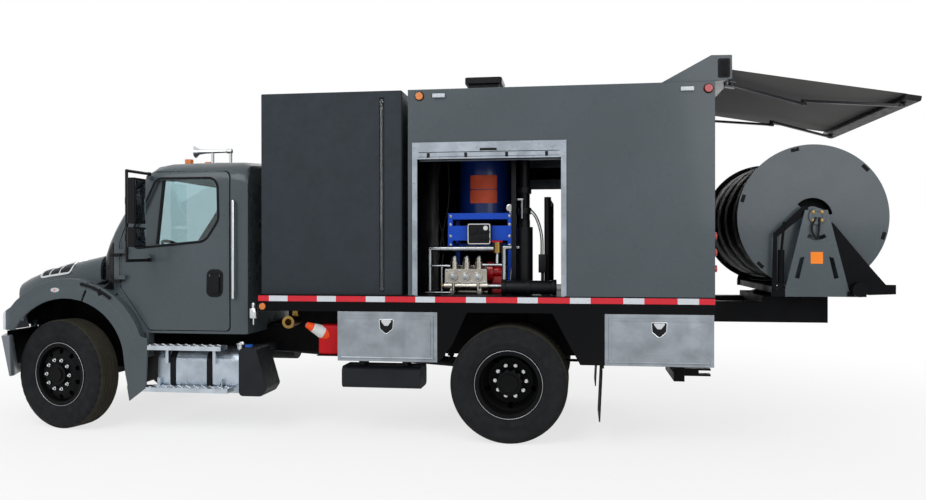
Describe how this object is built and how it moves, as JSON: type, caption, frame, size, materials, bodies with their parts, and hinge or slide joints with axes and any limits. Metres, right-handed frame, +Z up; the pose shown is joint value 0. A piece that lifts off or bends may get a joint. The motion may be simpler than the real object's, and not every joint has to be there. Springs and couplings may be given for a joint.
{
  "type": "truck-mounted drain jetter",
  "caption": "Conventional-cab truck carrying a water tank, an enclosed jetting pump and a sliding, swivelling hose reel under a folding-arm awning.",
  "frame": {"origin": "on the ground, under the middle of the truck's overall length and width", "axes": "+X runs from the front bumper to the tail, +Y to the passenger's side, +Z up"},
  "size_m": [8.6356, 3.037, 3.379],
  "materials": {
    "paint_grey": "gloss",
    "black_steel": "satin",
    "dark_housing": "satin",
    "engine_iron": "rough",
    "aluminium": "satin",
    "glass": "gloss",
    "cab_trim": "matt",
    "bright_metal": "polished",
    "tank_plastic": "matt",
    "lamp_red": "gloss",
    "bumper_silver": "satin",
    "grille_black": "satin",
    "pump_steel": "satin",
    "engine_red": "gloss",
    "heater_blue": "gloss",
    "flap_rubber": "matt",
    "tyre": "matt",
    "hose_rubber": "satin",
    "awning_cloth": "matt"
  },
  "bodies": {
    "truck": {"chassis_frame": "black_steel", "front_bumper": "bumper_silver", "axles_and_springs": "black_steel", "drivetrain": "engine_iron", "fuel_tank_and_steps": "aluminium", "plastic_tanks": "tank_plastic", "cab_shell": "paint_grey", "cab_glass": "glass", "cab_interior": "cab_trim", "cab_brightwork": "bright_metal", "water_tank": "tank_plastic", "bed_deck": "black_steel", "body_shell": "paint_grey", "marker_lamps": "lamp_red", "shutter_frames": "aluminium", "toolboxes": "aluminium", "jet_pump": "pump_steel", "pump_drive": "engine_red", "heater_unit": "heater_blue", "control_panel": "grille_black", "plumbing": "pump_steel", "awning_housing": "dark_housing", "mud_flaps": "flap_rubber", "awning_fabric": "awning_cloth"},
    "left_knuckle": {"left_knuckle": "black_steel"},
    "right_knuckle": {"right_knuckle": "black_steel"},
    "front_left_wheel": {"front_left_rim": "black_steel", "front_left_tyre": "tyre"},
    "front_right_wheel": {"front_right_rim": "black_steel", "front_right_tyre": "tyre"},
    "rear_left_wheels": {"rear_left_rims": "black_steel", "rear_left_tyres": "tyre"},
    "rear_right_wheels": {"rear_right_rims": "black_steel", "rear_right_tyres": "tyre"},
    "steering_wheel": {"steering_wheel": "cab_trim"},
    "hood": {"hood": "paint_grey", "grille_and_lamps": "grille_black"},
    "reel_drum": {"reel_drum": "paint_grey", "hose_winding": "hose_rubber"},
    "left_door": {"left_door": "paint_grey"},
    "right_door": {"right_door": "paint_grey"},
    "left_window": {"left_window": "glass"},
    "right_window": {"right_window": "glass"},
    "left_door_handle": {"left_door_handle": "bright_metal"},
    "right_door_handle": {"right_door_handle": "bright_metal"},
    "left_mirror": {"left_mirror": "grille_black"},
    "right_mirror": {"right_mirror": "grille_black"},
    "front_toolbox_door": {"front_toolbox_door": "aluminium"},
    "rear_toolbox_door": {"rear_toolbox_door": "aluminium"},
    "front_toolbox_latch": {"front_toolbox_latch": "bright_metal"},
    "rear_toolbox_latch": {"rear_toolbox_latch": "bright_metal"},
    "left_shutter": {"left_shutter": "aluminium"},
    "right_shutter": {"right_shutter": "aluminium"},
    "reel_carriage": {"reel_carriage": "black_steel"},
    "reel_stand": {"reel_stand": "paint_grey"},
    "awning_left_upper_arm": {"awning_left_upper_arm": "dark_housing"},
    "awning_left_forearm": {"awning_left_forearm": "dark_housing"},
    "awning_right_upper_arm": {"awning_right_upper_arm": "dark_housing"},
    "awning_right_forearm": {"awning_right_forearm": "dark_housing"},
    "lead_rail": {"lead_rail": "dark_housing"}
  },
  "joints": [
    {"name": "left_steer", "type": "hinge", "parent": "truck", "child": "left_knuckle", "pos_m": [-3.39478, -0.88, 0.525], "axis": [0, 0, 1], "range_deg": [-22.2, 47.8]},
    {"name": "right_steer", "type": "hinge", "parent": "truck", "child": "right_knuckle", "pos_m": [-3.39478, 0.88, 0.525], "axis": [0, 0, 1], "range_deg": [-22.2, 47.8]},
    {"name": "steering_wheel_turn", "type": "hinge", "parent": "truck", "child": "steering_wheel", "pos_m": [-2.83478, -0.42, 1.33], "axis": [0.5736, 0, 0.8192], "range_deg": [-330, 690]},
    {"name": "front_left_spin", "type": "hinge", "parent": "left_knuckle", "child": "front_left_wheel", "pos_m": [-3.43245, -1.04577, 0.525], "axis": [0.2215, 0.9751, 0], "continuous": true},
    {"name": "front_right_spin", "type": "hinge", "parent": "right_knuckle", "child": "front_right_wheel", "pos_m": [-3.35712, 1.04577, 0.525], "axis": [0.2215, 0.9751, 0], "continuous": true},
    {"name": "rear_left_spin", "type": "hinge", "parent": "truck", "child": "rear_left_wheels", "pos_m": [0.88222, -1.074, 0.525], "axis": [0, 1, 0], "continuous": true},
    {"name": "rear_right_spin", "type": "hinge", "parent": "truck", "child": "rear_right_wheels", "pos_m": [0.88222, 1.074, 0.525], "axis": [0, 1, 0], "continuous": true},
    {"name": "hood_tilt", "type": "hinge", "parent": "truck", "child": "hood", "pos_m": [-4.18478, 0, 0.94], "axis": [0, -1, 0], "range_deg": [0, 50]},
    {"name": "left_door_swing", "type": "hinge", "parent": "truck", "child": "left_door", "pos_m": [-2.86478, -1.1, 1.5], "axis": [0, 0, -1], "range_deg": [0, 60]},
    {"name": "left_window_drop", "type": "slide", "parent": "left_door", "child": "left_window", "axis": [-0.1113, 0, -0.9938], "range_m": [0, 0.42]},
    {"name": "left_handle_pull", "type": "hinge", "parent": "left_door", "child": "left_door_handle", "pos_m": [-1.91278, -1.074, 1.48], "axis": [-1, 0, 0], "range_deg": [0, 25], "stiffness_Nm_per_rad": 4},
    {"name": "left_mirror_fold", "type": "hinge", "parent": "left_door", "child": "left_mirror", "pos_m": [-2.55978, -1.096, 2], "axis": [0, 0, 1], "range_deg": [-30, 60]},
    {"name": "right_door_swing", "type": "hinge", "parent": "truck", "child": "right_door", "pos_m": [-2.86478, 1.1, 1.5], "axis": [0, 0, 1], "range_deg": [0, 60]},
    {"name": "right_window_drop", "type": "slide", "parent": "right_door", "child": "right_window", "axis": [-0.1113, 0, -0.9938], "range_m": [0, 0.42]},
    {"name": "right_handle_pull", "type": "hinge", "parent": "right_door", "child": "right_door_handle", "pos_m": [-1.91278, 1.074, 1.48], "axis": [1, 0, 0], "range_deg": [0, 25], "stiffness_Nm_per_rad": 4},
    {"name": "right_mirror_fold", "type": "hinge", "parent": "right_door", "child": "right_mirror", "pos_m": [-2.55978, 1.096, 2], "axis": [0, 0, -1], "range_deg": [-30, 60]},
    {"name": "front_toolbox_open", "type": "hinge", "parent": "truck", "child": "front_toolbox_door", "pos_m": [-0.20978, -1.228, 0.751], "axis": [1, 0, 0], "range_deg": [0, 100]},
    {"name": "front_latch_turn", "type": "hinge", "parent": "front_toolbox_door", "child": "front_toolbox_latch", "pos_m": [-0.20978, -1.22, 1.076], "axis": [0, -1, 0], "range_deg": [0, 90]},
    {"name": "rear_toolbox_open", "type": "hinge", "parent": "truck", "child": "rear_toolbox_door", "pos_m": [2.18122, -1.228, 0.751], "axis": [1, 0, 0], "range_deg": [0, 100]},
    {"name": "rear_latch_turn", "type": "hinge", "parent": "rear_toolbox_door", "child": "rear_toolbox_latch", "pos_m": [2.18122, -1.22, 1.076], "axis": [0, -1, 0], "range_deg": [0, 90]},
    {"name": "left_shutter_lower", "type": "slide", "parent": "truck", "child": "left_shutter", "axis": [0, 0, -1], "range_m": [0, 0.3]},
    {"name": "right_shutter_lower", "type": "slide", "parent": "truck", "child": "right_shutter", "axis": [0, 0, -1], "range_m": [0, 0.3]},
    {"name": "reel_extend", "type": "slide", "parent": "truck", "child": "reel_carriage", "axis": [1, 0, 0], "range_m": [-0.95, 0]},
    {"name": "reel_swivel", "type": "hinge", "parent": "reel_carriage", "child": "reel_stand", "pos_m": [3.50722, 0, 1.3], "axis": [0, 0, 1], "range_deg": [0, 180]},
    {"name": "reel_spin", "type": "hinge", "parent": "reel_stand", "child": "reel_drum", "pos_m": [3.50722, 0, 2.005], "axis": [0, 1, 0], "continuous": true},
    {"name": "left_shoulder", "type": "hinge", "parent": "truck", "child": "awning_left_upper_arm", "pos_m": [2.82922, -1, 3.207], "axis": [0.1736, 0, 0.9848], "range_deg": [0, 58], "deforming": ["awning_fabric"]},
    {"name": "left_elbow", "type": "hinge", "parent": "awning_left_upper_arm", "child": "awning_left_forearm", "pos_m": [3.52485, -0.62442, 3.08434], "axis": [0.1736, 0, 0.9848], "range_deg": [-116, 0]},
    {"name": "left_wrist", "type": "hinge", "parent": "awning_left_forearm", "child": "lead_rail", "pos_m": [4.22047, -1, 2.96168], "axis": [0.1736, 0, 0.9848], "range_deg": [0, 58]},
    {"name": "right_shoulder", "type": "hinge", "parent": "truck", "child": "awning_right_upper_arm", "pos_m": [2.82922, 1, 3.207], "axis": [0.1736, 0, 0.9848], "range_deg": [-58, 0]},
    {"name": "right_elbow", "type": "hinge", "parent": "awning_right_upper_arm", "child": "awning_right_forearm", "pos_m": [3.52485, 0.62442, 3.08434], "axis": [0.1736, 0, 0.9848], "range_deg": [0, 116]}
  ],
  "couplings": [
    {"joint": "right_steer", "follows": "left_steer", "ratio": 1},
    {"joint": "steering_wheel_turn", "follows": "left_steer", "ratio": 14},
    {"joint": "left_elbow", "follows": "left_shoulder", "ratio": -2},
    {"joint": "left_wrist", "follows": "left_shoulder", "ratio": 1},
    {"joint": "right_shoulder", "follows": "left_shoulder", "ratio": -1},
    {"joint": "right_elbow", "follows": "left_shoulder", "ratio": 2}
  ]
}
